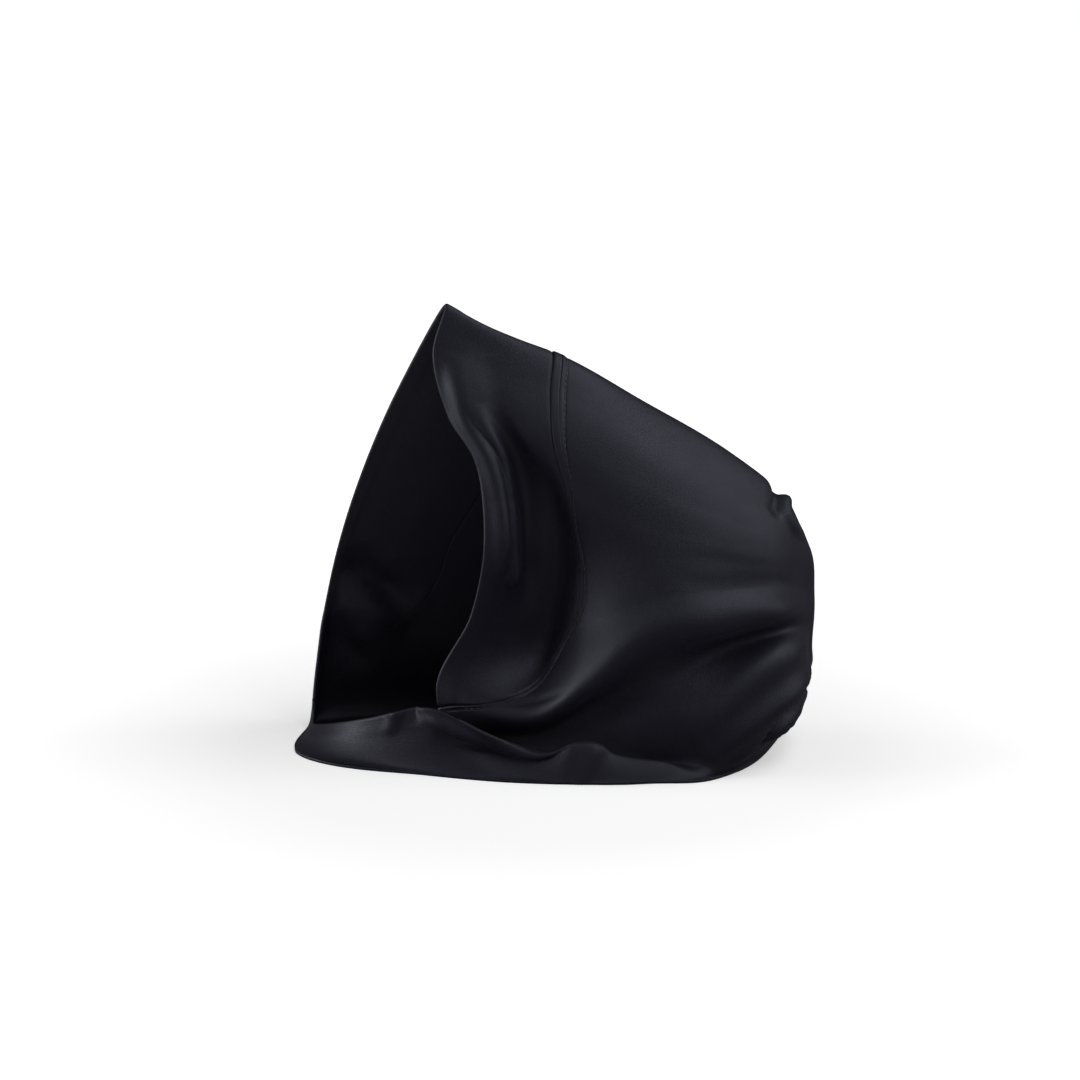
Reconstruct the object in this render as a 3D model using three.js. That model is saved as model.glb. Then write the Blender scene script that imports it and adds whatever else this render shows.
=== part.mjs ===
// Skull cap of black satin, lying on the nape with its opening towards -X.
// Two pieces of cloth: front_panel, the shaped panel over the brow, and crown, all the rest.
// Millimetres, +Z up; the origin is under the middle of the cap, on the surface it lies on.
import * as THREE from "three";

// ---- Driving dimensions -------------------------------------------------------------------
const WALL = 1.4; // outer satin, interlining and satin facing together
const SEAM_GAP = 0.8; // between the panel's edge and the crown's
const PANEL_TIP = 4; // depth of the panel where it ends at the nape corners
const COLUMNS = 96; // steps around the opening
const PANEL_ROWS = 6; // steps from the rim to the seam
const CROWN_ROWS = 21; // steps from the seam to the back of the head
const LOOP_LENGTH = 670; // once round the opening, folds included
const FOLD_PUFF = 1.25; // crowds the crown's rows towards the rim, where its folds are sharpest

// ---- Sections -----------------------------------------------------------------------------
// Each row is one loop of cloth. inset is its distance from the rim, along the cloth.
// Each column is a place on the loop: down the near side from the ridge, under the nape, and
// back to the heel of the far side, which the far side's own sizes carry up to the ridge again.
// A place is [x, y, z], with y from the ridge, near side negative, and z = LAID where the cloth
// lies on the surface.
const LAID = -3; // below the surface, so that the cloth is pressed flat on it
const FLOOR_BEND = 3; // how high the cloth starts to bend where it comes down to the surface
const SECTIONS = [
  {
    name: "rim", inset: 0, ridge: [-50, 0, 217], brow: [-56, -4, 196],
    cheek: [-49, -9, 167], waist: [-36, -19, 145], swell: [-32, -30, 108],
    shelf: [-38, -27, 74], crest: [-55, -21, 34], under: [-48, -24, 13],
    belly: [-30, -32, 8], crease: [-5, -41, 8], lip: [-28, -46, 18],
    peak: [-58, -40, 31], toe: [-88, -22, 21], sole: [-115, 14, 8], heel: [-119, 34, 6],
  },
  {
    name: "turn", inset: 20, ridge: [-31, 0, 207], brow: [-34, -6, 190],
    cheek: [-28, -13, 166], waist: [-17, -16, 142], swell: [-12, -20, 106],
    shelf: [-19, -14, 60], crest: [-31, -33, 27], under: [-25, -30, 15],
    belly: [-6, -37, 9], crease: [12, -42, 6], lip: [-4, -51, 15],
    peak: [-42, -47, 12], toe: [-80, -32, 3], sole: [-124, -8, LAID], heel: [-121, 38, LAID],
  },
  {
    name: "panel", inset: 36, ridge: [-17, 0, 201], brow: [-20, -9, 184],
    cheek: [-15, -18, 161], waist: [-4, -16, 137], swell: [1, -14, 104],
    shelf: [-4, -11, 54], crest: [-10, -40, 27], under: [-6, -33, 18],
    belly: [8, -39, 11], crease: [21, -43, 6], lip: [14, -53, 17],
    peak: [-18, -57, LAID], toe: [-60, -45, LAID], sole: [-110, -20, LAID],
    heel: [-110, 40, LAID],
  },
  {
    name: "seam", inset: 60, ridge: [4, 0, 193], brow: [2, -12, 177],
    cheek: [2, -22, 156], waist: [8, -25, 133], swell: [14, -25, 104],
    shelf: [16, -31, 71], crest: [14, -48, 41], under: [19, -35, 32],
    belly: [23, -39, 18], crease: [32, -45, 6], lip: [29, -53, 12],
    peak: [14, -60, LAID], toe: [-30, -45, LAID], sole: [-75, -10, LAID],
    heel: [-90, 45, LAID],
  },
  {
    name: "crown", inset: 105, ridge: [43, 0, 171], brow: [41, -17, 157],
    cheek: [40, -29, 137], waist: [42, -35, 118], swell: [45, -39, 103],
    shelf: [46, -44, 86], crest: [46, -51, 66], under: [50, -42, 49],
    belly: [51, -46, 28], crease: [55, -46, 7], lip: [52, -53, 8],
    peak: [44, -58, LAID], toe: [18, -45, LAID], sole: [-28, -12, LAID],
    heel: [-38, 48, LAID],
  },
  {
    name: "bosom", inset: 150, ridge: [82, 0, 148], brow: [79, -17, 136],
    cheek: [77, -29, 121], waist: [76, -35, 110], swell: [76, -38, 101],
    shelf: [76, -43, 90], crest: [78, -48, 71], under: [82, -34, 60],
    belly: [79, -46, 38], crease: [81, -46, 12], lip: [75, -50, 1],
    peak: [74, -52, LAID], toe: [60, -40, LAID], sole: [25, -15, LAID],
    heel: [15, 50, LAID],
  },
  {
    name: "shoulder", inset: 180, ridge: [106, 0, 130], brow: [104, -13, 121],
    cheek: [101, -23, 112], waist: [100, -28, 104], swell: [100, -30, 97],
    shelf: [101, -32, 89], crest: [105, -36, 75], under: [108, -25, 65],
    belly: [107, -35, 53], crease: [106, -34, 24], lip: [97, -26, 6],
    peak: [92, -30, LAID], toe: [85, -15, LAID], sole: [60, 5, LAID],
    heel: [55, 48, LAID],
  },
];

// Where each column lies around the loop, as a part of one turn.
const AROUND = {
  ridge: 0, brow: 0.035, cheek: 0.08, waist: 0.125, swell: 0.18, shelf: 0.235, crest: 0.3,
  under: 0.335, belly: 0.365, crease: 0.405, lip: 0.445, peak: 0.495, toe: 0.54, sole: 0.6,
  heel: 0.65,
};

// The far side goes up from the heel to the ridge, standing out from the straight line.
const FAR_PLACES = [
  { around: 0.74, part: 0.25 },
  { around: 0.84, part: 0.53 },
  { around: 0.93, part: 0.8 },
];
const FAR_FULLNESS = 0.8; // below 1 fills the bulge out towards its ends
const FAR_BULGE = 23; // how far it stands out behind, less towards the back of the head
const FAR_LEAN = 15; // how far it leans out over the opening at the rim
const LEAN_FADES = 100; // the inset where that lean ends

// The back edge, from the ridge down to the surface, where the near and far sides meet.
const BACK_INSET = 228;
const BACK_EDGE = [
  { around: 0, place: [120, 2, 108] },
  { around: 0.125, place: [125, 4, 94] },
  { around: 0.235, place: [126, 6, 80] },
  { around: 0.335, place: [126, 7, 60] },
  { around: 0.405, place: [124, 16, 28] },
  { around: 0.5, place: [114, 34, LAID] },
];

// The panel's seam: how far from the rim it lies, from the ridge to the near nape corner.
const SEAM = [
  { around: 0, inset: 56 },
  { around: 0.06, inset: 58 },
  { around: 0.12, inset: 58 },
  { around: 0.16, inset: 56 },
  { around: 0.2, inset: 58 },
  { around: 0.22, inset: 56 },
  { around: 0.245, inset: 44 },
  { around: 0.27, inset: 33 },
  { around: 0.29, inset: 20 },
  { around: 0.312, inset: 0 },
];
const FAR_CORNER = 0.33; // how far round the far side the seam reaches, back from the ridge

// ---- Curves -------------------------------------------------------------------------------
// A smooth curve through values at knots; a value is a list of numbers.
function curveThrough(knots, values, at) {
  let i = 0;
  while (i < knots.length - 2 && at >= knots[i + 1]) i++;
  const slope = (k) => values[0].map((_, c) => (values[k + 1][c] - values[k][c]) / (knots[k + 1] - knots[k]));
  const tangent = (k) => {
    if (k === 0) return slope(0);
    if (k === knots.length - 1) return slope(k - 1);
    const before = knots[k] - knots[k - 1];
    const after = knots[k + 1] - knots[k];
    const [a, b] = [slope(k - 1), slope(k)];
    return a.map((s, c) => (s * after + b[c] * before) / (before + after));
  };
  const step = knots[i + 1] - knots[i];
  const t = (at - knots[i]) / step;
  const [m0, m1] = [tangent(i), tangent(i + 1)];
  const [p0, p1] = [values[i], values[i + 1]];
  return p0.map((p, c) => (2 * t ** 3 - 3 * t ** 2 + 1) * p + (t ** 3 - 2 * t ** 2 + t) * step * m0[c]
    + (3 * t ** 2 - 2 * t ** 3) * p1[c] + (t ** 3 - t ** 2) * step * m1[c]);
}

// The knots and places of a section, run past one turn at both ends so that the loop closes.
function loopOf(section) {
  const knots = Object.values(AROUND);
  const places = Object.keys(AROUND).map((column) => section[column]);
  const { heel, ridge, inset } = section;
  const lean = FAR_LEAN * Math.max(0, 1 - inset / LEAN_FADES);
  const bulge = [-lean, FAR_BULGE * Math.sqrt(1 - (inset / BACK_INSET) ** 2), 0];
  for (const { around, part } of FAR_PLACES) {
    const fullness = Math.sin(Math.PI * part) ** FAR_FULLNESS;
    knots.push(around);
    places.push(heel.map((h, c) => h + (ridge[c] - h) * part + bulge[c] * fullness));
  }
  const last = knots.length - 1;
  return {
    knots: [knots[last] - 1, ...knots, 1, 1 + knots[1]],
    places: [places[last], ...places, places[0], places[1]],
  };
}

const LOOPS = SECTIONS.map(loopOf);
const INSETS = [...SECTIONS.map((section) => section.inset), BACK_INSET];
const EDGE_KNOTS = BACK_EDGE.map((row) => row.around);
const EDGE_PLACES = BACK_EDGE.map((row) => row.place);

// A height above the lying cloth, kept from going below it by a round bend.
function pressed(height) {
  if (height > FLOOR_BEND) return height;
  if (height < -FLOOR_BEND) return 0;
  return (height + FLOOR_BEND) ** 2 / (4 * FLOOR_BEND);
}

// The middle of the cloth's thickness, at a place around the loop and an inset from the rim.
function cloth(around, inset) {
  const turn = ((around % 1) + 1) % 1;
  const down = LOOPS.map((loop) => curveThrough(loop.knots, loop.places, turn));
  down.push(curveThrough(EDGE_KNOTS, EDGE_PLACES, Math.min(turn, 1 - turn)));
  const [x, y, z] = curveThrough(INSETS, down, inset);
  return new THREE.Vector3(x, y, WALL / 2 + pressed(z - WALL / 2));
}

const STEP_AROUND = 0.004; // short steps for measuring directions, around and inwards
const STEP_IN = 1.5;

// The cloth's outward direction there. It is straight down where the cloth lies flat.
function outward(around, inset) {
  const low = Math.max(inset - STEP_IN, 0);
  const high = Math.min(inset + STEP_IN, BACK_INSET);
  const along = cloth(around + STEP_AROUND, inset).sub(cloth(around - STEP_AROUND, inset));
  const inwards = cloth(around, high).sub(cloth(around, low));
  return along.cross(inwards).normalize();
}

function seamInset(around) {
  const turn = ((around % 1) + 1) % 1;
  const reach = SEAM[SEAM.length - 1].around;
  const place = turn <= 0.5 ? turn : ((1 - turn) * reach) / FAR_CORNER;
  if (place >= reach) return 0;
  return curveThrough(SEAM.map((row) => row.around), SEAM.map((row) => [row.inset]), place)[0];
}

// The gap beside the seam, square to it where it slants across the columns.
function seamGap(around) {
  const slant = (seamInset(around + STEP_AROUND) - seamInset(around - STEP_AROUND))
    / (2 * STEP_AROUND * LOOP_LENGTH);
  return SEAM_GAP * Math.hypot(1, slant);
}

// ---- Cloth walls --------------------------------------------------------------------------
const BACKWARDS = new THREE.Vector3(1, 0, 0);

// The two faces of the wall at one place of the cloth; on the back edge both sides share one.
function wallAt(around, inset) {
  const middle = cloth(around, inset);
  const out = outward(around, inset);
  if (inset >= BACK_INSET) out.add(outward(1 - around, inset)).add(BACKWARDS).normalize();
  const outer = middle.clone().addScaledVector(out, WALL / 2);
  const inner = middle.clone().addScaledVector(out, -WALL / 2);
  outer.z = Math.max(outer.z, 0);
  inner.z = Math.max(inner.z, 0);
  return { outer, inner };
}

// A closed wall over a grid of columns, each a list of wall places. The faces of the first and
// last row, and of the first and last column unless the grid goes all the way round, are its edges.
function wallMesh(grid, goesRound, closedBack) {
  const triangles = [];
  const quad = (a, b, c, d) => triangles.push(a, b, c, a, c, d);
  const rows = grid[0].length - 1;
  const spans = goesRound ? grid.length : grid.length - 1;
  for (let i = 0; i < spans; i++) {
    const [left, right] = [grid[i], grid[(i + 1) % grid.length]];
    for (let j = 0; j < rows; j++) {
      quad(left[j].outer, right[j].outer, right[j + 1].outer, left[j + 1].outer);
      quad(left[j].inner, left[j + 1].inner, right[j + 1].inner, right[j].inner);
    }
    quad(left[0].inner, right[0].inner, right[0].outer, left[0].outer);
    if (!closedBack) quad(left[rows].outer, right[rows].outer, right[rows].inner, left[rows].inner);
  }
  if (!goesRound) {
    const [first, last] = [grid[0], grid[grid.length - 1]];
    for (let j = 0; j < rows; j++) {
      quad(first[j].outer, first[j + 1].outer, first[j + 1].inner, first[j].inner);
      quad(last[j].inner, last[j + 1].inner, last[j + 1].outer, last[j].outer);
    }
  }
  return new THREE.BufferGeometry().setFromPoints(triangles);
}

// Columns are counted from the ridge: up to half a turn down the near side, and as far back.
const frontPanelColumns = [];
for (let i = 1 - COLUMNS / 2; i < COLUMNS / 2; i++) {
  if (seamInset(i / COLUMNS) >= PANEL_TIP) frontPanelColumns.push(i);
}
const underPanel = (i) => frontPanelColumns.includes(i) || frontPanelColumns.includes(i - COLUMNS);

function frontPanel() {
  const grid = frontPanelColumns.map((i) => {
    const around = i / COLUMNS;
    const depth = seamInset(around);
    return Array.from({ length: PANEL_ROWS + 1 }, (_, j) => wallAt(around, (depth * j) / PANEL_ROWS));
  });
  return wallMesh(grid, false, false);
}

function crown() {
  const grid = Array.from({ length: COLUMNS }, (_, i) => {
    const around = i / COLUMNS;
    const start = underPanel(i) ? seamInset(around) + seamGap(around) : 0;
    return Array.from({ length: CROWN_ROWS + 1 }, (_, j) => {
      const part = (j / CROWN_ROWS) ** FOLD_PUFF;
      return wallAt(around, start + (BACK_INSET - start) * part);
    });
  });
  return wallMesh(grid, true, true);
}

// ---- The cap ------------------------------------------------------------------------------
const SATIN = { color: 0x15151b, roughness: 0.45, metalness: 0 };

const cap = new THREE.Group();
for (const [name, shape] of [["crown", crown()], ["front_panel", frontPanel()]]) {
  const mesh = new THREE.Mesh(shape, new THREE.MeshStandardMaterial(SATIN));
  mesh.name = name;
  cap.add(mesh);
}

// The origin goes under the middle of the cap.
const size = new THREE.Box3().setFromObject(cap);
const middle = size.getCenter(new THREE.Vector3());
cap.position.set(-middle.x, -middle.y, -size.min.z);

export default cap;
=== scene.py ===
"""A soft black satin skull cap, lying on its nape, sewn piece by piece around its CAD frame."""

import math

import bmesh
import bpy
import numpy as np
from bpy.props import FloatProperty, FloatVectorProperty, IntProperty, PointerProperty
from mathutils import Matrix, Vector


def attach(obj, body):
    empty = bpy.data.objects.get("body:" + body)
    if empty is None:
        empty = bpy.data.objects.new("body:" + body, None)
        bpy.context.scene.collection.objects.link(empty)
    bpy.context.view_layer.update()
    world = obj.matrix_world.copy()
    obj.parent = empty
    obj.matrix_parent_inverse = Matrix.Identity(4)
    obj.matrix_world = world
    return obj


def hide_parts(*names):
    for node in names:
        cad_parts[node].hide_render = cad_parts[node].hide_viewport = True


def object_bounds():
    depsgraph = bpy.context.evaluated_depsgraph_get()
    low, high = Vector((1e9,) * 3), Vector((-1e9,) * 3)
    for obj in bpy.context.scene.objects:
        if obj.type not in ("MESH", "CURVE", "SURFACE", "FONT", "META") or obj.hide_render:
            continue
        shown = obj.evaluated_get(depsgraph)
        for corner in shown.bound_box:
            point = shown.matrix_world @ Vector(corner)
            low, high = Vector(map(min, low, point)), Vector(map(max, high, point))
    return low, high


bl_info = {
    "name": "Satin Skull Cap",
    "version": (1, 0, 0),
    "blender": (4, 5, 0),
    "location": "3D View > Sidebar > Cap",
    "description": "Makes a soft satin skull cap, its seam, its hem and its topstitches",
    "category": "Add Mesh",
}

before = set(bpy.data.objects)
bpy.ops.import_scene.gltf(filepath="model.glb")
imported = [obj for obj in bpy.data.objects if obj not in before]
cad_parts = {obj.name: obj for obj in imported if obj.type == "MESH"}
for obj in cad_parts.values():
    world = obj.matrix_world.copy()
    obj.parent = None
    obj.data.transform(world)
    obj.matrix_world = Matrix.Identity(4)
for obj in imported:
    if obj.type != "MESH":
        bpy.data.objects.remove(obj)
CAD_BOX = [list(corner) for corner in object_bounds()]

MM = 0.001

# ---- The cloth's shape, in millimetres ----------------------------------------------------
# Each section is one loop of cloth round the cap, at its inset from the rim along the cloth.
# Its columns are places on the loop: down the near side from the ridge, under the nape, and
# back to the heel of the far side, which the far side's own sizes carry up to the ridge again.
# A place is x, y, z, with y from the ridge and the near side negative.
LAID = -3  # below the surface, so the cloth is pressed flat on it
FLOOR_BEND = 3  # how high the cloth starts to bend where it comes down to the surface
SECTIONS = [
    dict(name="rim", inset=0, ridge=(-50, 0, 217), brow=(-56, -4, 196),
         cheek=(-49, -9, 167), waist=(-36, -19, 145), swell=(-32, -30, 108),
         shelf=(-38, -27, 74), crest=(-55, -21, 34), under=(-48, -24, 13),
         belly=(-30, -32, 8), crease=(-5, -41, 8), lip=(-28, -46, 18),
         peak=(-58, -40, 31), toe=(-88, -22, 21), sole=(-115, 14, 8), heel=(-119, 34, 6)),
    dict(name="turn", inset=20, ridge=(-31, 0, 207), brow=(-34, -6, 190),
         cheek=(-28, -13, 166), waist=(-17, -16, 142), swell=(-12, -20, 106),
         shelf=(-19, -14, 60), crest=(-31, -33, 27), under=(-25, -30, 15),
         belly=(-6, -37, 9), crease=(12, -42, 6), lip=(-4, -51, 15),
         peak=(-42, -47, 12), toe=(-80, -32, 3), sole=(-124, -8, LAID), heel=(-121, 38, LAID)),
    dict(name="panel", inset=36, ridge=(-17, 0, 201), brow=(-20, -9, 184),
         cheek=(-15, -18, 161), waist=(-4, -16, 137), swell=(1, -14, 104),
         shelf=(-4, -11, 54), crest=(-10, -40, 27), under=(-6, -33, 18),
         belly=(8, -39, 11), crease=(21, -43, 6), lip=(14, -53, 17),
         peak=(-18, -57, LAID), toe=(-60, -45, LAID), sole=(-110, -20, LAID),
         heel=(-110, 40, LAID)),
    dict(name="seam", inset=60, ridge=(4, 0, 193), brow=(2, -12, 177),
         cheek=(2, -22, 156), waist=(8, -25, 133), swell=(14, -25, 104),
         shelf=(16, -31, 71), crest=(14, -48, 41), under=(19, -35, 32),
         belly=(23, -39, 18), crease=(32, -45, 6), lip=(29, -53, 12),
         peak=(14, -60, LAID), toe=(-30, -45, LAID), sole=(-75, -10, LAID),
         heel=(-90, 45, LAID)),
    dict(name="crown", inset=105, ridge=(43, 0, 171), brow=(41, -17, 157),
         cheek=(40, -29, 137), waist=(42, -35, 118), swell=(45, -39, 103),
         shelf=(46, -44, 86), crest=(46, -51, 66), under=(50, -42, 49),
         belly=(51, -46, 28), crease=(55, -46, 7), lip=(52, -53, 8),
         peak=(44, -58, LAID), toe=(18, -45, LAID), sole=(-28, -12, LAID),
         heel=(-38, 48, LAID)),
    dict(name="bosom", inset=150, ridge=(82, 0, 148), brow=(79, -17, 136),
         cheek=(77, -29, 121), waist=(76, -35, 110), swell=(76, -38, 101),
         shelf=(76, -43, 90), crest=(78, -48, 71), under=(82, -34, 60),
         belly=(79, -46, 38), crease=(81, -46, 12), lip=(75, -50, 1),
         peak=(74, -52, LAID), toe=(60, -40, LAID), sole=(25, -15, LAID),
         heel=(15, 50, LAID)),
    dict(name="shoulder", inset=180, ridge=(106, 0, 130), brow=(104, -13, 121),
         cheek=(101, -23, 112), waist=(100, -28, 104), swell=(100, -30, 97),
         shelf=(101, -32, 89), crest=(105, -36, 75), under=(108, -25, 65),
         belly=(107, -35, 53), crease=(106, -34, 24), lip=(97, -26, 6),
         peak=(92, -30, LAID), toe=(85, -15, LAID), sole=(60, 5, LAID),
         heel=(55, 48, LAID)),
]

# Where each column lies around the loop, as a part of one turn.
AROUND = dict(
    ridge=0, brow=0.035, cheek=0.08, waist=0.125, swell=0.18, shelf=0.235, crest=0.3,
    under=0.335, belly=0.365, crease=0.405, lip=0.445, peak=0.495, toe=0.54, sole=0.6,
    heel=0.65,
)

# The far side goes up from the heel to the ridge, standing out from the straight line.
FAR_PLACES = [(0.74, 0.25), (0.84, 0.53), (0.93, 0.8)]  # around, and part of the way up
FAR_FULLNESS = 0.8  # below 1 fills the bulge out towards its ends
FAR_BULGE = 23  # how far it stands out behind, less towards the back of the head
FAR_LEAN = 15  # how far it leans out over the opening at the rim
LEAN_FADES = 100  # the inset where that lean ends

# The back edge, from the ridge down to the surface, where the near and far sides meet.
BACK_INSET = 228
BACK_EDGE = [
    (0, (120, 2, 108)),
    (0.125, (125, 4, 94)),
    (0.235, (126, 6, 80)),
    (0.335, (126, 7, 60)),
    (0.405, (124, 16, 28)),
    (0.5, (114, 34, LAID)),
]

# The panel's seam: around, and how far from the rim it lies, down to the near nape corner.
SEAM = [
    (0, 56), (0.06, 58), (0.12, 58), (0.16, 56), (0.2, 58), (0.22, 56), (0.245, 44),
    (0.27, 33), (0.29, 20), (0.312, 0),
]
FAR_CORNER = 0.33  # how far round the far side the seam reaches, back from the ridge

LOOP_LENGTH = 670  # once round the opening, folds included

# ---- Folds --------------------------------------------------------------------------------
# Each fold follows a path over the cloth. A row of the path is the place around the loop, the
# inset from the rim in millimetres, and how far the fold stands out there, dents negative.
# width is the fold's half width in millimetres; a sharp fold comes to an edge, a soft one is
# round. Broad folds come before fine ones, which follow their slopes.
BROAD_FOLDS = [
    dict(name="brow roll", width=8, sharp=False,
         path=[(0.02, 13, 0), (0.06, 13, 4), (0.1, 12, 4), (0.15, 11, 0)]),
    dict(name="crease over the shelf", width=5, sharp=False,
         path=[(0.2, 115, 0), (0.225, 140, -1), (0.23, 165, -1), (0.235, 190, -0.8),
               (0.24, 210, 0)]),
    dict(name="low ridge end", width=6, sharp=False,
         path=[(0.405, 130, 0), (0.4, 145, 4), (0.394, 160, 7), (0.39, 180, 7),
               (0.385, 205, 5), (0.38, 224, 2)]),
    dict(name="valley under the shelf", width=4.5, sharp=False,
         path=[(0.345, 105, 0), (0.338, 130, -2), (0.335, 155, -2.5), (0.333, 185, -2),
               (0.33, 215, 0)]),
    dict(name="low ridge", width=8, sharp=False,
         path=[(0.385, 125, 0), (0.375, 145, 3), (0.364, 170, 4), (0.358, 200, 3),
               (0.356, 222, 0)]),
    dict(name="back pocket", width=4, sharp=False,
         path=[(0.43, 165, 0), (0.418, 172, -6), (0.404, 180, -9), (0.399, 205, -9),
               (0.394, 226, -4)]),
    dict(name="strip pocket", width=5, sharp=False,
         path=[(0.502, 10, 0), (0.49, 15, -5), (0.476, 19, -8), (0.461, 24, -6), (0.45, 32, 0)]),
    dict(name="strip bump", width=6, sharp=False,
         path=[(0.44, 24, 0), (0.437, 32, 1.6), (0.435, 42, 1.6), (0.435, 52, 0)]),
    dict(name="far fold, high", width=8, sharp=False,
         path=[(0.81, 12, 0), (0.795, 24, 4), (0.78, 40, 5), (0.77, 58, 0)]),
    dict(name="far fold, middle", width=8, sharp=False,
         path=[(0.785, 12, 0), (0.77, 24, -4), (0.755, 40, -5), (0.745, 58, 0)]),
    dict(name="far fold, low", width=7, sharp=False,
         path=[(0.75, 12, 0), (0.735, 22, 4), (0.72, 36, 4), (0.71, 50, 0)]),
]
FINE_FOLDS = [
    dict(name="hem roll", width=4.5, sharp=False,
         path=[(0.03, 8, 0), (0.06, 8, 2.5), (0.1, 7, 3.5), (0.14, 7, 6), (0.18, 7, 7),
               (0.205, 7, 0)]),
    dict(name="valley wall", width=5, sharp=False,
         path=[(0.07, 24, 0), (0.1, 23, -3), (0.14, 22, -5), (0.19, 22, -5), (0.22, 24, 0)]),
    dict(name="hem crease", width=1.4, sharp=True,
         path=[(0.07, 9, 0), (0.1, 11, -2), (0.14, 10.5, -2.5), (0.18, 10.5, -2.5),
               (0.2, 11, 0)]),
    dict(name="inner roll", width=2.8, sharp=False,
         path=[(0.07, 15, 0), (0.1, 15, 3), (0.14, 13.5, 2.5), (0.18, 13.5, 3),
               (0.198, 14, 6), (0.206, 14, 0)]),
    dict(name="pocket edge", width=3, sharp=False,
         path=[(0.43, 158, 0), (0.415, 163, 4), (0.402, 170, 3), (0.394, 182, 1),
               (0.39, 195, 0)]),
    dict(name="lower lip", width=3, sharp=False,
         path=[(0.432, 172, 0), (0.42, 182, 4), (0.413, 200, 5), (0.41, 222, 3)]),
    dict(name="back tuck", width=3.2, sharp=False,
         path=[(0.04, 178, 0), (0.028, 182, -3), (0.012, 184, -4), (-0.006, 183, -4),
               (-0.02, 182, 0)]),
    dict(name="back tuck edge", width=3, sharp=False,
         path=[(-0.02, 190, 0), (0.004, 190, 3), (0.02, 190, 3), (0.032, 198, 2.5),
               (0.036, 212, 1.5), (0.036, 224, 0)]),
    dict(name="nape pleat", width=2.5, sharp=False,
         path=[(0.519, 0, 3), (0.524, 4, 1.5), (0.532, 8, 0)]),
    dict(name="nape notch", width=2.2, sharp=False,
         path=[(0.507, 0, -3.5), (0.508, 3, -1.5), (0.511, 7, 0)]),
    dict(name="strip ridge", width=2.2, sharp=False,
         path=[(0.503, 3, 0), (0.49, 8, 3), (0.476, 12, 4), (0.462, 17, 3), (0.45, 23, 0)]),
    dict(name="strip wrinkle", width=3, sharp=False,
         path=[(0.44, 42, 0), (0.455, 47, 1.5), (0.475, 51, 1), (0.49, 53, 0)]),
    dict(name="slope line", width=2, sharp=False,
         path=[(0.29, 12, 0), (0.285, 25, -0.8), (0.28, 40, -0.8), (0.285, 52, 0)]),
]


# ---- Curves and surfaces ------------------------------------------------------------------
def curve_through(knots, values, at, steps=None):
    """A smooth curve through values at knots. values is (knots, ...) and at is (points,)."""
    knots = np.asarray(knots, float)
    values = np.asarray(values, float)
    gaps = np.diff(knots).reshape((-1,) + (1,) * (values.ndim - 1))
    slopes = np.diff(values, axis=0) / gaps
    inner = (slopes[:-1] * gaps[1:] + slopes[1:] * gaps[:-1]) / (gaps[:-1] + gaps[1:])
    tangents = np.concatenate([slopes[:1], inner, slopes[-1:]])
    i = np.clip(np.searchsorted(knots, at, side="right") - 1, 0, len(knots) - 2)
    step = knots[i + 1] - knots[i]
    t = (at - knots[i]) / step
    if steps is None:
        start, end, leave, arrive = values[i], values[i + 1], tangents[i], tangents[i + 1]
        shape = (-1,) + (1,) * (values.ndim - 1)
    else:
        start, end = values[i, steps], values[i + 1, steps]
        leave, arrive = tangents[i, steps], tangents[i + 1, steps]
        shape = (-1,) + (1,) * (values.ndim - 2)
    t, step = t.reshape(shape), step.reshape(shape)
    return (
        (2 * t**3 - 3 * t**2 + 1) * start
        + (t**3 - 2 * t**2 + t) * step * leave
        + (3 * t**2 - 2 * t**3) * end
        + (t**3 - t**2) * step * arrive
    )


def loop_of(section):
    """The knots and places of a section, run past one turn at both ends to close the loop."""
    knots = list(AROUND.values())
    places = [np.array(section[column], float) for column in AROUND]
    heel, ridge = places[-1], places[0]
    inset = section["inset"]
    bulge = np.array((
        -FAR_LEAN * max(0, 1 - inset / LEAN_FADES),
        FAR_BULGE * math.sqrt(1 - (inset / BACK_INSET) ** 2),
        0,
    ))
    for around, part in FAR_PLACES:
        fullness = math.sin(math.pi * part) ** FAR_FULLNESS
        knots.append(around)
        places.append(heel + (ridge - heel) * part + bulge * fullness)
    return (
        [knots[-1] - 1, *knots, 1, 1 + knots[1]],
        [places[-1], *places, places[0], places[1]],
    )


LOOPS = [loop_of(section) for section in SECTIONS]
INSETS = [section["inset"] for section in SECTIONS] + [BACK_INSET]


def pressed(height):
    """Heights above the lying cloth, kept from going below it by a round bend."""
    bent = (height + FLOOR_BEND) ** 2 / (4 * FLOOR_BEND)
    return np.where(height > FLOOR_BEND, height, np.where(height < -FLOOR_BEND, 0, bent))


def plain_cloth(around, inset):
    """The middle of the cloth before its folds, for flat arrays of places."""
    turn = np.mod(around, 1)
    down = [curve_through(knots, places, turn) for knots, places in LOOPS]
    edge = [row[0] for row in BACK_EDGE], [row[1] for row in BACK_EDGE]
    down.append(curve_through(*edge, np.minimum(turn, 1 - turn)))
    return curve_through(INSETS, np.array(down), inset, np.arange(len(turn)))


BOX_TURNS = 192  # places round each loop, for finding the plain cloth's box
BOX_INSETS = 60  # loops, from the rim to the back edge


def section_origin():
    """The sections' zero, placed so that the plain cloth's box is centred as the frame's is."""
    places = np.linspace(0, 1, BOX_TURNS), np.linspace(0, BACK_INSET, BOX_INSETS)
    turns, insets = np.meshgrid(*places)
    cloth = plain_cloth(turns.ravel(), insets.ravel())
    low, high = np.array(CAD_BOX)
    x, y, _ = (low + high) / 2 / MM - (cloth.min(0) + cloth.max(0)) / 2
    return np.array((x, y, 0))


SECTION_ORIGIN = section_origin()

STEP_AROUND = 0.003  # short steps for measuring directions, around and inwards
STEP_IN = 1.2
TINY = 1e-9  # keeps a division from being by nothing


def unit(v):
    return v / np.maximum(np.linalg.norm(v, axis=-1, keepdims=True), TINY)


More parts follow.
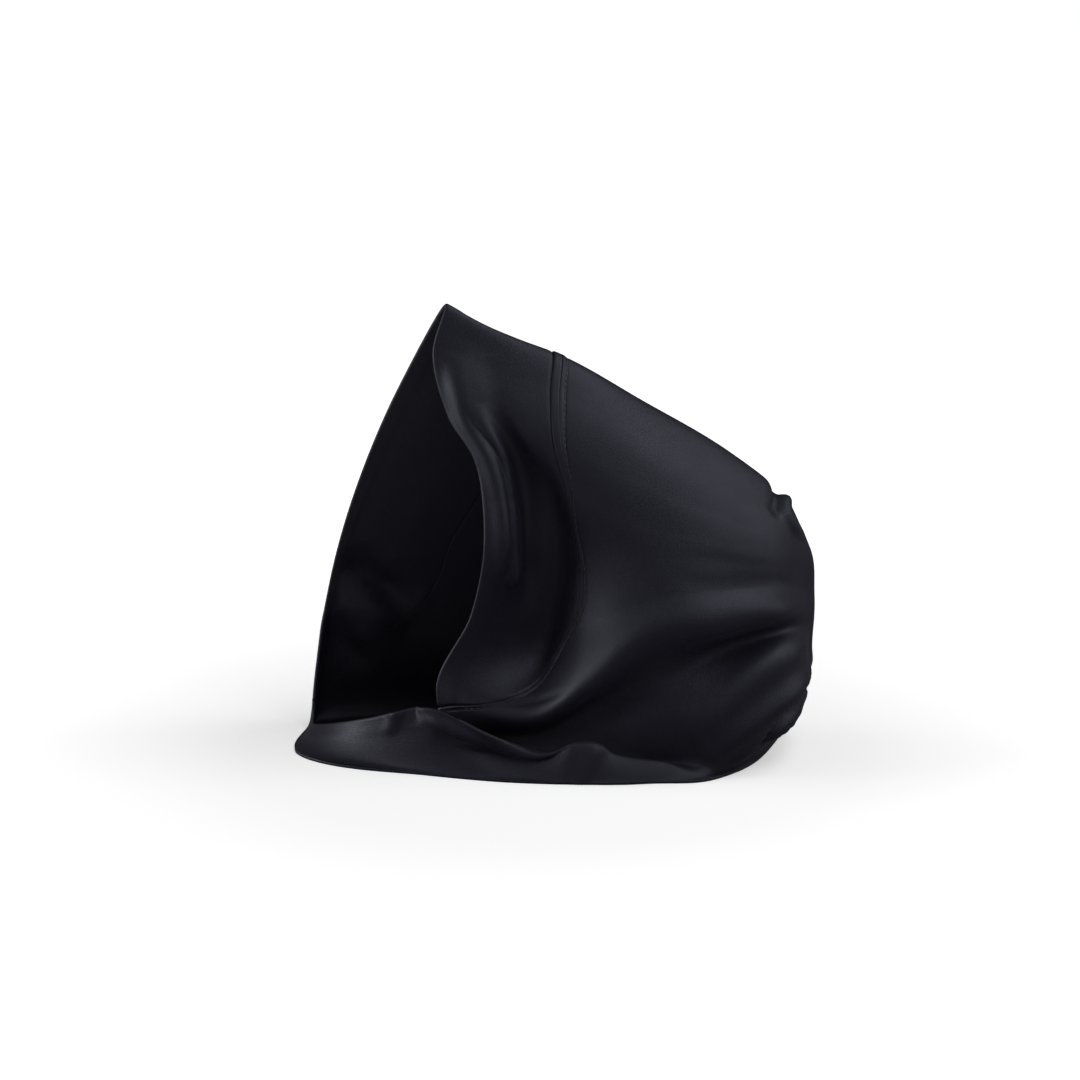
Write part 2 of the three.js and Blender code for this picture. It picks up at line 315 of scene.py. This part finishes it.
def slopes_of(surface, around, inset):
    """Directions along the loop and inwards, per turn and per millimetre of inset."""
    low = np.maximum(inset - STEP_IN, 0)
    high = np.minimum(inset + STEP_IN, BACK_INSET)
    along = surface(around + STEP_AROUND, inset) - surface(around - STEP_AROUND, inset)
    inwards = surface(around, high) - surface(around, low)
    return along / (2 * STEP_AROUND), inwards / (high - low)[:, None]


PATH_STEPS = 12  # short straight steps along each stretch of a fold's path
SHARP_CORNER = 0.2  # rounds the top of a sharp fold, as a part of its width
SOFT_SPREAD = 1.4  # how fast a soft fold dies away
SHARP_REACH = 5.5  # how many widths away a sharp fold can still be felt
SOFT_REACH = 3.3  # and a soft one
SHORTEST_LOOP = LOOP_LENGTH / 3  # the least that a loop gathers to


def fold_heights(folds, surface, around, inset):
    """How far the folds lift each place of the cloth."""
    lift = np.zeros(len(around))
    turn = np.mod(around, 1)
    for fold in folds:
        rows = np.array(fold["path"], float)
        steps = PATH_STEPS * (len(rows) - 1)
        path = curve_through(np.arange(len(rows)), rows, np.linspace(0, len(rows) - 1, steps + 1))
        along, inwards = slopes_of(surface, path[:, 0], path[:, 1])
        reach = (SHARP_REACH if fold["sharp"] else SOFT_REACH) * fold["width"]
        slack = reach / max(np.linalg.norm(along, axis=1).min(), SHORTEST_LOOP)
        low, high = path[:, :2].min(0), path[:, :2].max(0)
        off = np.abs(np.mod(turn - (low[0] + high[0]) / 2 + 0.5, 1) - 0.5)
        near = off < (high[0] - low[0]) / 2 + slack
        near &= (inset > low[1] - reach) & (inset < high[1] + reach)
        ids = np.flatnonzero(near)
        nearest = np.full(len(ids), np.inf)
        height = np.zeros(len(ids))
        for k in range(steps):
            middle = (path[k] + path[k + 1]) / 2
            a, b = (along[k] + along[k + 1]) / 2, (inwards[k] + inwards[k + 1]) / 2
            round_by = np.mod(turn[ids] - middle[0] + 0.5, 1) - 0.5
            flat = round_by[:, None] * a + (inset[ids] - middle[1])[:, None] * b
            step = (path[k + 1, 0] - path[k, 0]) * a + (path[k + 1, 1] - path[k, 1]) * b
            part = np.clip(flat @ step / max(float(step @ step), TINY), -0.5, 0.5)
            away = np.linalg.norm(flat - part[:, None] * step, axis=1)
            closer = away < nearest
            nearest[closer] = away[closer]
            height[closer] = middle[2] + part[closer] * (path[k + 1, 2] - path[k, 2])
        off = nearest / fold["width"]
        if fold["sharp"]:
            shape = np.exp(SHARP_CORNER - np.sqrt(off**2 + SHARP_CORNER**2))
        else:
            shape = np.exp(-(off**2) / SOFT_SPREAD)
        lift[ids] += height * shape
    return lift


def folded_by(folds, surface):
    """The same surface with these folds laid over it."""

    def surface_with_folds(around, inset):
        along, inwards = slopes_of(surface, around, inset)
        out = unit(np.cross(along, inwards))
        return surface(around, inset) + out * fold_heights(folds, surface, around, inset)[:, None]

    return surface_with_folds


folded = folded_by(FINE_FOLDS, folded_by(BROAD_FOLDS, plain_cloth))


NEAR_CORNER = SEAM[-1][0]  # how far round the near side the seam reaches


def along_seam(around):
    """How far down the seam's near half a place is, or its match on the far half."""
    turn = np.mod(around, 1)
    return np.where(turn <= 0.5, turn, (1 - turn) * NEAR_CORNER / FAR_CORNER)


def from_rows(rows, place):
    """A smooth value from rows of a place along the seam and the value there."""
    knots, values = zip(*rows)
    return curve_through(knots, np.array(values, float), np.minimum(place, NEAR_CORNER))


def seam_inset(around):
    place = along_seam(around)
    return np.where(place >= NEAR_CORNER, 0, from_rows(SEAM, place))


# ---- The lapped seam ----------------------------------------------------------------------
# The crown's folded edge lies over the panel, and its topstitches run a little way in from it.
STITCH_ROW = [(0, 6.5), (0.1, 6), (0.15, 3.5), (0.32, 2)]  # around, and distance from the edge
LAP_RISE = 0.5  # how far the crown's lap stands up over the panel
LAP_FALL = 0.4  # how softly the lap's rise ends at the stitches
STITCH_DIP = 0.45  # how far the stitches pull the cloth in
DIP_WIDTH = 0.8  # how wide that dip is
LAP_GROWS = 6  # how deep the panel gets, from its corner, before the lap is full
TUCK_CLEAR = 0.15  # how far below the cloth's middle the panel's outer face goes under the lap
TUCK_SLOPE = 2.5  # the width of the panel's bend down into the seam
EDGE_TIP = 2.0  # depth of the panel where it ends at the nape corners
HEM_SOFTNESS = 0.7  # how softly the turned hem ends
LAP_ROWS = 16  # rows over the lap
LAP_REACH = 10.0  # how far in from the crown's edge they go
PANEL_UNDER = 3.0  # how far the panel goes on under the crown
PANEL_ROWS = 60  # rows from the rim to the panel's hidden edge
PANEL_END = PANEL_UNDER + 0.3, PANEL_UNDER + 0.45  # where the crown is thick again inside


def half_thickness(sizes, inset):
    """Half the wall's thickness, which is more over the turned hem."""
    hem = 1 / (1 + np.exp((inset - sizes.hem_depth / MM) / HEM_SOFTNESS))
    return (sizes.wall + (sizes.hem_wall - sizes.wall) * hem) / MM / 2


def stitch_row(around):
    """How far in from the crown's edge the stitches lie."""
    return from_rows(STITCH_ROW, along_seam(around))


def eased(value, low, high):
    """From 0 at low to 1 at high, without a corner."""
    part = np.clip((value - low) / (high - low), 0, 1)
    return part**2 * (3 - 2 * part)


def crown_faces(sizes, around, inset, seam):
    """The crown's outer and inner face over the cloth's middle. Its lap lies on the panel."""
    half = half_thickness(sizes, inset)
    past, row = inset - seam, stitch_row(around)[:, None]
    band = LAP_RISE / (1 + np.exp((past - row) / LAP_FALL))
    dip = STITCH_DIP * np.exp(-(((past - row) / DIP_WIDTH) ** 2))
    sewn = np.clip((seam - EDGE_TIP) / LAP_GROWS, 0, 1)
    thinned = 1 - eased(past, *PANEL_END)
    return half + (band - dip) * sewn, -half + half * thinned * sewn


def panel_faces(sizes, inset, seam):
    """The panel's outer and inner face: its outer face goes down under the crown's edge."""
    half = half_thickness(sizes, inset)
    under = eased(inset - seam, -TUCK_SLOPE, 0)
    return half - (half + TUCK_CLEAR) * under, -half


# ---- Walls --------------------------------------------------------------------------------
BACKWARDS = np.array((1.0, 0.0, 0.0))
EDGE_STEPS = 4  # steps round a rolled edge
SAME_PLACE = 1e-6  # corners of the cloth this near, in metres, are one


def grid_surface(around, inset, faces, closes_back):
    """Middles, outward directions and half thickness of a grid of cloth, pressed on the floor."""
    over, under = faces
    half, lift = (over - under) / 2, (over + under) / 2
    columns, rows = inset.shape
    middle = folded(np.repeat(around, rows), inset.ravel()).reshape(columns, rows, 3)

    def outwards():
        if closes_back:
            along = np.roll(middle, -1, 0) - np.roll(middle, 1, 0)
        else:
            along = np.gradient(middle, axis=0)
        return unit(np.cross(along, np.gradient(middle, axis=1)))

    middle = middle + outwards() * lift[..., None]
    middle[..., 2] = half + pressed(middle[..., 2] - half)
    out = outwards()
    if closes_back:
        mirrored = np.roll(out[::-1, -1], 1, 0)
        out[:, -1] = unit(out[:, -1] + mirrored + BACKWARDS)
    return middle, out, half


def rolled_edge(middle, beyond, out, half, from_inside):
    """Rows of points round an edge of the wall, half a circle about the edge's middle."""
    rows = []
    for k in range(1, EDGE_STEPS):
        angle = math.pi * k / EDGE_STEPS
        side = -math.cos(angle) if from_inside else math.cos(angle)
        rows.append(middle + (beyond * math.sin(angle) + out * side) * half[:, None])
    return rows


def wall_profile(inset, middle, out, half, closes_back):
    """Points and insets once round the wall's thickness, for each column."""
    rows = inset.shape[1]
    outer = middle + out * half[..., None]
    inner = middle - out * half[..., None]
    points = [outer[:, j] for j in range(rows)]
    insets = [inset[:, j] for j in range(rows)]
    if not closes_back:
        beyond = unit(middle[:, -1] - middle[:, -2])
        points += rolled_edge(middle[:, -1], beyond, out[:, -1], half[:, -1], False)
        insets += [inset[:, -1]] * (EDGE_STEPS - 1)
    points += [inner[:, j] for j in range(rows - 1, -1, -1)]
    insets += [inset[:, j] for j in range(rows - 1, -1, -1)]
    beyond = unit(middle[:, 0] - middle[:, 1])
    points += rolled_edge(middle[:, 0], beyond, out[:, 0], half[:, 0], True)
    insets += [inset[:, 0]] * (EDGE_STEPS - 1)
    points = np.stack(points, 1)
    points[..., 2] = np.maximum(points[..., 2], 0)
    return points, np.stack(insets, 1)


def wall_piece(name, around, inset, faces, closes_back=False):
    """A closed wall of cloth over a grid, going all the way round if it closes at the back."""
    columns, rows = inset.shape
    middle, out, half = grid_surface(around, inset, faces, closes_back)
    points, insets = wall_profile(inset, middle, out, half, closes_back)
    turns = points.shape[1]
    number = np.arange(columns * turns).reshape(columns, turns)
    left = np.arange(columns if closes_back else columns - 1)
    right = (left + 1) % columns
    next_around = np.append(around[1:], around[0] + 1)
    u_left, u_right = around[left] * LOOP_LENGTH, next_around[left] * LOOP_LENGTH
    quads, uvs = [], []
    for j in range(turns):
        k = (j + 1) % turns
        if closes_back and j == rows - 1:
            continue
        corners = ((left, j, u_left), (right, j, u_right), (right, k, u_right), (left, k, u_left))
        quads.append(np.stack([number[i, row] for i, row, _ in corners], 1))
        uvs.append(np.stack([np.stack([u, insets[i, row]], 1) for i, row, u in corners], 1))
    mesh = bpy.data.meshes.new(name)
    places = (points.reshape(-1, 3) + SECTION_ORIGIN) * MM
    mesh.from_pydata(places.tolist(), [], np.concatenate(quads).tolist())
    layer = mesh.uv_layers.new(name="Cloth")
    layer.data.foreach_set("uv", (np.concatenate(uvs).reshape(-1) * MM).astype(np.float32))
    work = bmesh.new()
    work.from_mesh(mesh)
    if not closes_back:
        work.verts.ensure_lookup_table()
        for column, step in ((0, 1), (columns - 1, -1)):
            end = work.faces.new([work.verts[n] for n in number[column][::step]])
            for loop in end.loops:
                loop[work.loops.layers.uv.active].uv = (around[column] * LOOP_LENGTH * MM, 0)
            bmesh.ops.triangulate(work, faces=[end])
    bmesh.ops.remove_doubles(work, verts=work.verts, dist=SAME_PLACE)
    for face in work.faces:
        face.smooth = True
    work.to_mesh(mesh)
    work.free()
    piece = bpy.data.objects.new(name, mesh)
    bpy.context.scene.collection.objects.link(piece)
    return piece


# ---- Materials ----------------------------------------------------------------------------
FLOAT_LENGTH = 2.2  # how much longer a glint of the weave is round the cap than across
WAVES = dict(scale=32, detail=2, depth=0.0012, strength=0.35)
CLOUDS = dict(scale=60, detail=3, change=0.05)  # slow patches of duller and brighter gloss
WEAVE = dict(detail=2, change=0.15, strength=0.6)
FIBRES = dict(scale=3500, detail=2, depth=0.0001, strength=0.5)


def textured(nodes, links, name, coordinates, scale, detail):
    noise = nodes.new("ShaderNodeTexNoise")
    noise.name = name
    noise.inputs["Scale"].default_value = scale
    noise.inputs["Detail"].default_value = detail
    links.new(coordinates, noise.inputs["Vector"])
    return noise.outputs["Fac"]


def raised(nodes, links, height, depth, strength, below=None):
    bump = nodes.new("ShaderNodeBump")
    bump.inputs["Distance"].default_value = depth
    bump.inputs["Strength"].default_value = strength
    links.new(height, bump.inputs["Height"])
    if below is not None:
        links.new(below, bump.inputs["Normal"])
    return bump.outputs["Normal"]


def mapped(nodes, links, value, low, high):
    change = nodes.new("ShaderNodeMapRange")
    change.inputs["To Min"].default_value = low
    change.inputs["To Max"].default_value = high
    links.new(value, change.inputs["Value"])
    return change.outputs["Result"]


def satin(name, finish):
    """Black satin: soft broad sheen, fine glittering weave, and slow waves in the cloth."""
    material = bpy.data.materials.new(name)
    material.use_nodes = True
    nodes, links = material.node_tree.nodes, material.node_tree.links
    shader = nodes["Principled BSDF"]
    cloth = nodes.new("ShaderNodeUVMap")
    cloth.uv_map = "Cloth"
    space = nodes.new("ShaderNodeTexCoord")
    threads = nodes.new("ShaderNodeMapping")
    threads.inputs["Scale"].default_value = (1, FLOAT_LENGTH, 1)
    links.new(cloth.outputs["UV"], threads.inputs["Vector"])
    fineness, places = 1 / finish.weave_size, space.outputs["Object"]
    weave = textured(nodes, links, "weave", threads.outputs["Vector"], fineness, WEAVE["detail"])
    waves = textured(nodes, links, "slow waves", places, WAVES["scale"], WAVES["detail"])
    clouds = textured(nodes, links, "clouds", places, CLOUDS["scale"], CLOUDS["detail"])
    shader.inputs["Base Color"].default_value = (*finish.colour, 1)
    shader.inputs["Specular Tint"].default_value = (*finish.gloss_colour, 1)
    shader.inputs["Sheen Weight"].default_value = finish.sheen
    shader.inputs["Sheen Roughness"].default_value = 0.45
    shader.inputs["Sheen Tint"].default_value = (0.85, 0.85, 1.0, 1)
    glints = nodes.new("ShaderNodeMath")
    glints.operation = "ADD"
    patches = mapped(nodes, links, clouds, -CLOUDS["change"], CLOUDS["change"])
    low, high = finish.roughness - WEAVE["change"], finish.roughness + WEAVE["change"]
    links.new(patches, glints.inputs[0])
    links.new(mapped(nodes, links, weave, low, high), glints.inputs[1])
    links.new(glints.outputs["Value"], shader.inputs["Roughness"])
    wavy = raised(nodes, links, waves, WAVES["depth"], WAVES["strength"])
    grain = raised(nodes, links, weave, finish.weave_depth, WEAVE["strength"], wavy)
    links.new(grain, shader.inputs["Normal"])
    return material


def thread(name, finish):
    """Twisted sewing thread in the satin's colour."""
    material = bpy.data.materials.new(name)
    material.use_nodes = True
    nodes, links = material.node_tree.nodes, material.node_tree.links
    shader = nodes["Principled BSDF"]
    space = nodes.new("ShaderNodeTexCoord")
    places = space.outputs["Object"]
    fibres = textured(nodes, links, "fibres", places, FIBRES["scale"], FIBRES["detail"])
    shader.inputs["Base Color"].default_value = (*finish.thread_colour, 1)
    shader.inputs["Roughness"].default_value = 0.4
    shader.inputs["Sheen Weight"].default_value = 0.2
    twisted = raised(nodes, links, fibres, FIBRES["depth"], FIBRES["strength"])
    links.new(twisted, shader.inputs["Normal"])
    return material


# ---- Settings -----------------------------------------------------------------------------
class ClothSizes(bpy.types.PropertyGroup):
    """Sizes of the cloth."""

    wall: FloatProperty(
        name="Wall", description="Thickness of the satin and its facing", default=0.0014,
        unit="LENGTH")
    hem_wall: FloatProperty(
        name="Hem", description="Thickness of the turned hem", default=0.002, unit="LENGTH")
    hem_depth: FloatProperty(
        name="Hem depth", description="How deep the hem is turned", default=0.007, unit="LENGTH")
    columns: IntProperty(
        name="Columns", description="Steps of the cloth once round the cap", default=440)
    rows: IntProperty(
        name="Rows", description="Steps of the cloth from the seam to the back", default=84)


class StitchSizes(bpy.types.PropertyGroup):
    """Sizes of the topstitches."""

    length: FloatProperty(
        name="Stitch", description="Length of a stitch", default=0.0023, unit="LENGTH")
    pitch: FloatProperty(
        name="Pitch", description="Distance from stitch to stitch", default=0.003, unit="LENGTH")
    thickness: FloatProperty(
        name="Thread", description="Thickness of the thread", default=0.00045, unit="LENGTH")


class SatinFinish(bpy.types.PropertyGroup):
    """Colours and surface of the satin and its thread."""

    colour: FloatVectorProperty(
        name="Colour", description="Colour of the satin", default=(0.005, 0.005, 0.01),
        size=3, subtype="COLOR")
    gloss_colour: FloatVectorProperty(
        name="Gloss", description="Colour of the satin's gloss", default=(0.8, 0.8, 1.0),
        size=3, subtype="COLOR")
    thread_colour: FloatVectorProperty(
        name="Thread", description="Colour of the thread", default=(0.012, 0.012, 0.018),
        size=3, subtype="COLOR")
    roughness: FloatProperty(
        name="Roughness", description="How broad the gloss is", default=0.55, subtype="FACTOR")
    sheen: FloatProperty(
        name="Sheen", description="Soft light at grazing angles", default=0.015,
        subtype="FACTOR")
    weave_size: FloatProperty(
        name="Weave", description="Size of the weave's grain", default=0.0011, unit="LENGTH")
    weave_depth: FloatProperty(
        name="Weave depth", description="Depth of the weave's grain", default=0.00022,
        unit="LENGTH")


class StageSizes(bpy.types.PropertyGroup):
    """The camera and the studio."""

    distance: FloatProperty(
        name="Distance", description="From the camera to the cap", default=1.44, unit="LENGTH")
    tilt: FloatProperty(
        name="Tilt", description="How far the camera looks down", default=math.radians(12),
        subtype="ANGLE")
    light: FloatProperty(
        name="Light", description="Strength of all the lamps together", default=1.0,
        subtype="FACTOR")


# ---- Pieces -------------------------------------------------------------------------------
def cloth_material():
    """The one satin that both pieces are cut from."""
    made = bpy.data.materials.get("black_satin")
    return made or satin("black_satin", bpy.context.scene.cap_finish)


class CAP_OT_crown(bpy.types.Operator):
    """Sew the crown, the hollow body of the cap with its folds"""

    bl_idname = "cap.crown"
    bl_label = "Crown"

    def execute(self, context):
        sizes = context.scene.cap_cloth
        around = np.arange(sizes.columns) / sizes.columns
        seam = seam_inset(around)
        start = np.where(seam >= EDGE_TIP, seam, 0)[:, None]
        steps = np.sort(np.append(np.arange(LAP_ROWS) / LAP_ROWS * LAP_REACH, PANEL_END))
        lap = start + steps
        part = np.arange(sizes.rows + 1) / sizes.rows
        body = start + LAP_REACH + (BACK_INSET - start - LAP_REACH) * part
        inset = np.concatenate([lap, body], 1)
        faces = crown_faces(sizes, around, inset, seam[:, None])
        piece = wall_piece("crown_cloth", around, inset, faces, closes_back=True)
        piece.data.materials.append(cloth_material())
        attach(piece, "root")
        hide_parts("crown")
        return {"FINISHED"}


class CAP_OT_front_panel(bpy.types.Operator):
    """Sew the shaped panel over the brow, tucked under the crown's edge"""

    bl_idname = "cap.front_panel"
    bl_label = "Front Panel"

    def execute(self, context):
        sizes = context.scene.cap_cloth
        around = np.linspace(-FAR_CORNER, NEAR_CORNER, sizes.columns)
        around = around[seam_inset(around) >= EDGE_TIP]
        seam = seam_inset(around)[:, None]
        inset = (seam + PANEL_UNDER) * np.arange(PANEL_ROWS + 1) / PANEL_ROWS
        piece = wall_piece("front_panel_cloth", around, inset, panel_faces(sizes, inset, seam))
        piece.data.materials.append(cloth_material())
        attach(piece, "root")
        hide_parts("front_panel")
        return {"FINISHED"}


STITCH_SIDES = 6
STITCH_END = 0.25  # how far a stitch's ends are drawn in and out, as a part of its thickness
STITCHED = 0.97  # how much of the way to each nape corner is stitched
STITCH_MEASURE = 2400  # places along the seam, for spacing the stitches evenly


def one_stitch(sizes):
    """One stitch, a short rounded length of thread along X, shaped in edit mode."""
    bpy.ops.object.select_all(action="DESELECT")
    bpy.ops.mesh.primitive_cylinder_add(
        vertices=STITCH_SIDES, radius=sizes.thickness / 2, depth=sizes.length,
        rotation=(0, math.pi / 2, 0))
    stitch = bpy.context.object
    bpy.ops.object.transform_apply(location=False, rotation=True, scale=False)
    bpy.ops.object.mode_set(mode="EDIT")
    bpy.ops.mesh.select_all(action="SELECT")
    bpy.ops.mesh.select_mode(type="FACE")
    bpy.ops.mesh.select_all(action="DESELECT")
    work = bmesh.from_edit_mesh(stitch.data)
    for face in work.faces:
        face.select_set(abs(face.normal.x) > 0.9)  # its two flat ends
    bmesh.update_edit_mesh(stitch.data)
    drawn = sizes.thickness * STITCH_END
    bpy.ops.mesh.inset(thickness=drawn, depth=drawn)
    bpy.ops.object.mode_set(mode="OBJECT")
    bpy.ops.object.shade_smooth()
    return stitch


def stitch_places(sizes):
    """Where each stitch lies: its middle, its direction and the way out of the cloth."""
    around = np.linspace(-FAR_CORNER * STITCHED, NEAR_CORNER * STITCHED, STITCH_MEASURE)
    inset = seam_inset(around) + stitch_row(around)
    line = folded(around, inset)
    walked = np.concatenate([[0], np.cumsum(np.linalg.norm(np.diff(line, axis=0), axis=1))])
    stops = np.arange(sizes.pitch / MM, walked[-1], sizes.pitch / MM)
    turn = np.interp(stops, walked, around)
    inset = seam_inset(turn) + stitch_row(turn)
    along, inwards = slopes_of(folded, turn, inset)
    out = unit(np.cross(along, inwards))
    wall = bpy.context.scene.cap_cloth.wall
    rise = wall / 2 / MM + LAP_RISE / 2 - STITCH_DIP + sizes.thickness / 4 / MM
    middle = folded(turn, inset) + out * rise
    middle[:, 2] = np.maximum(middle[:, 2], sizes.thickness / MM)
    return middle, unit(np.gradient(folded(turn, inset), axis=0)), out


class CAP_OT_stitches(bpy.types.Operator):
    """Sew the row of topstitches along the seam"""

    bl_idname = "cap.stitches"
    bl_label = "Topstitches"

    def execute(self, context):
        sizes = context.scene.cap_stitch
        pattern = one_stitch(sizes)
        copies = []
        for middle, along, out in zip(*stitch_places(sizes)):
            side = np.cross(out, along)
            turned = Matrix(np.array((along, side, np.cross(along, side))).T.tolist()).to_4x4()
            mesh = pattern.data.copy()
            mesh.transform(Matrix.Translation((middle + SECTION_ORIGIN) * MM) @ turned)
            copy = bpy.data.objects.new("topstitch", mesh)
            context.scene.collection.objects.link(copy)
            copies.append(copy)
        bpy.data.objects.remove(pattern)
        bpy.ops.object.select_all(action="DESELECT")
        for copy in copies:
            copy.select_set(True)
        context.view_layer.objects.active = copies[0]
        bpy.ops.object.join()
        row = context.object
        row.name = "topstitches"
        row.data.materials.append(thread("black_thread", context.scene.cap_finish))
        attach(row, "root")
        return {"FINISHED"}


# ---- Stage --------------------------------------------------------------------------------
LAMPS = [
    dict(name="right_top_light", place=(0.6, -0.25, 1.05), size=(1.1, 0.8), watts=6.5),
    dict(name="left_top_light", place=(-0.5, -0.1, 1.1), size=(1.0, 0.8), watts=0.8),
    dict(name="left_light", place=(-1.2, 0.05, 0.3), size=(0.8, 0.7), watts=8),
    dict(name="right_light", place=(1.2, 0, 0.5), size=(0.6, 0.6), watts=2),
    dict(name="front_light", place=(0.1, -1.3, 0.5), size=(1.0, 0.5), watts=0.8),
]
AIM = (0, 0, 0.1)  # what the lamps point at
ROOM_LIGHT = 0.06
VIEW_CENTRE = Vector((-0.0063, -0.0016, 0.1045))
FLOOR_RADIUS = 9
FLOOR_GLOW = (("From Min", 0.15), ("From Max", 0.7), ("To Min", 0.45), ("To Max", 1))


def aimed(thing, place, target):
    thing.location = place
    thing.rotation_euler = (Vector(target) - Vector(place)).to_track_quat("-Z", "Y").to_euler()


def make_camera(scene, stage):
    lens = bpy.data.cameras.new("camera")
    lens.lens, lens.sensor_width = 100, 36
    camera = bpy.data.objects.new("camera", lens)
    scene.collection.objects.link(camera)
    back = Vector((0, -math.cos(stage.tilt), math.sin(stage.tilt))) * stage.distance
    aimed(camera, VIEW_CENTRE + back, VIEW_CENTRE)
    scene.camera = camera


def make_floor():
    """A pale floor that glows more away from the cap, and doesn't mirror in the satin."""
    bpy.ops.mesh.primitive_circle_add(vertices=128, radius=FLOOR_RADIUS, fill_type="NGON")
    floor = bpy.context.object
    floor.name = "floor"
    pale = bpy.data.materials.new("floor_pale")
    pale.use_nodes = True
    nodes, links = pale.node_tree.nodes, pale.node_tree.links
    shader = nodes["Principled BSDF"]
    shader.inputs["Base Color"].default_value = (0.86, 0.86, 0.87, 1)
    shader.inputs["Roughness"].default_value = 0.8
    shader.inputs["Specular IOR Level"].default_value = 0.1
    shader.inputs["Emission Color"].default_value = (1, 1, 1, 1)
    place = nodes.new("ShaderNodeTexCoord")
    length = nodes.new("ShaderNodeVectorMath")
    length.operation = "LENGTH"
    links.new(place.outputs["Object"], length.inputs[0])
    fade = nodes.new("ShaderNodeMapRange")
    for socket, value in FLOOR_GLOW:
        fade.inputs[socket].default_value = value
    links.new(length.outputs["Value"], fade.inputs["Value"])
    links.new(fade.outputs["Result"], shader.inputs["Emission Strength"])
    floor.data.materials.append(pale)
    floor.visible_glossy = False


def make_room(scene):
    """A white backdrop to look at, and a dim room to light the cap by."""
    world = bpy.data.worlds.new("studio")
    scene.world = world
    world.use_nodes = True
    nodes, links = world.node_tree.nodes, world.node_tree.links
    room = nodes["Background"]
    room.inputs["Color"].default_value = (1, 1, 1, 1)
    room.inputs["Strength"].default_value = ROOM_LIGHT
    backdrop = nodes.new("ShaderNodeBackground")
    backdrop.inputs["Color"].default_value = (1, 1, 1, 1)
    seen = nodes.new("ShaderNodeLightPath")
    mix = nodes.new("ShaderNodeMixShader")
    links.new(seen.outputs["Is Camera Ray"], mix.inputs["Fac"])
    links.new(room.outputs["Background"], mix.inputs[1])
    links.new(backdrop.outputs["Background"], mix.inputs[2])
    links.new(mix.outputs["Shader"], nodes["World Output"].inputs["Surface"])


def make_lamps(scene, stage):
    for row in LAMPS:
        lamp = bpy.data.lights.new(row["name"], "AREA")
        lamp.shape = "RECTANGLE"
        lamp.size, lamp.size_y = row["size"]
        lamp.energy = row["watts"] * stage.light
        light = bpy.data.objects.new(row["name"], lamp)
        scene.collection.objects.link(light)
        aimed(light, row["place"], AIM)
        light.visible_camera = False


class CAP_OT_stage(bpy.types.Operator):
    """Set the camera, the pale floor, the room and the soft lamps"""

    bl_idname = "cap.stage"
    bl_label = "Stage"

    def execute(self, context):
        scene = context.scene
        scene.view_settings.view_transform = "Standard"
        make_camera(scene, scene.cap_stage)
        make_floor()
        make_room(scene)
        make_lamps(scene, scene.cap_stage)
        return {"FINISHED"}


class CAP_PT_pieces(bpy.types.Panel):
    """The cap's pieces, its sizes and its finish"""

    bl_idname = "CAP_PT_pieces"
    bl_label = "Satin Skull Cap"
    bl_space_type = "VIEW_3D"
    bl_region_type = "UI"
    bl_category = "Cap"

    def draw(self, context):
        layout, scene = self.layout, context.scene
        for operator in OPERATORS:
            layout.operator(operator.bl_idname)
        for settings in (scene.cap_cloth, scene.cap_stitch, scene.cap_finish, scene.cap_stage):
            box = layout.box()
            for name in settings.bl_rna.properties.keys():
                if name not in ("rna_type", "name"):
                    box.prop(settings, name)


GROUPS = dict(
    cap_cloth=ClothSizes, cap_stitch=StitchSizes, cap_finish=SatinFinish, cap_stage=StageSizes)
OPERATORS = (CAP_OT_crown, CAP_OT_front_panel, CAP_OT_stitches, CAP_OT_stage)
CLASSES = (*GROUPS.values(), *OPERATORS, CAP_PT_pieces)


def register():
    for made in CLASSES:
        bpy.utils.register_class(made)
    for name, group in GROUPS.items():
        setattr(bpy.types.Scene, name, PointerProperty(type=group))


def unregister():
    for name in GROUPS:
        delattr(bpy.types.Scene, name)
    for made in reversed(CLASSES):
        bpy.utils.unregister_class(made)


def main():
    register()
    bpy.ops.cap.crown()
    bpy.ops.cap.front_panel()
    bpy.ops.cap.stitches()
    bpy.ops.cap.stage()


if __name__ == "__main__":
    main()
